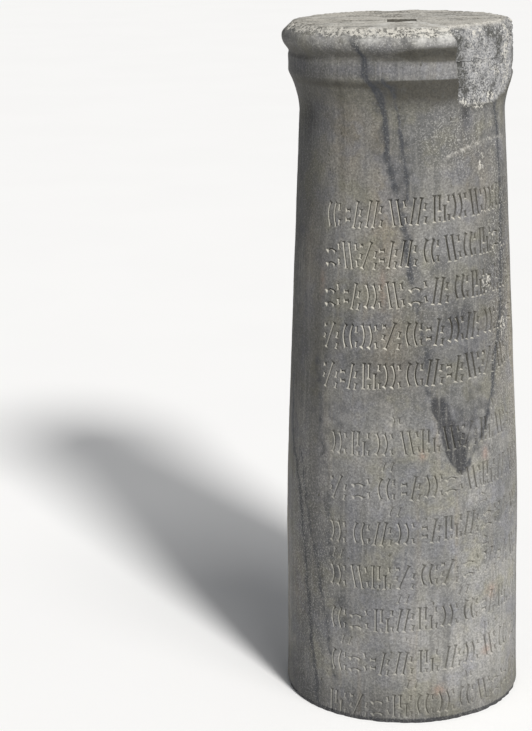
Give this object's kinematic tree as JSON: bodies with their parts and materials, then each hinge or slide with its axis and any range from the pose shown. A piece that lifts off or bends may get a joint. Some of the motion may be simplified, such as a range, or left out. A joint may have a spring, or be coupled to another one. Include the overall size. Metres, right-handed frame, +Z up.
{
  "type": "marble grave column",
  "caption": "Short round marble column with a roll and band moulding under a flat socketed top, rows of shallow cut strokes and a broken upper edge, standing on a flat cut base.",
  "frame": {"origin": "centre of the flat cut underside", "axes": "+Z up along the column's axis; the front with the rows of strokes faces -Y; the break is at the top on the +X side"},
  "size_m": [0.215, 0.215, 0.61],
  "materials": {
    "grey_marble": "weathered, matt, veined blue-grey with warm patches"
  },
  "bodies": {
    "root": {"marble_column": "grey_marble"}
  },
  "joints": []
}
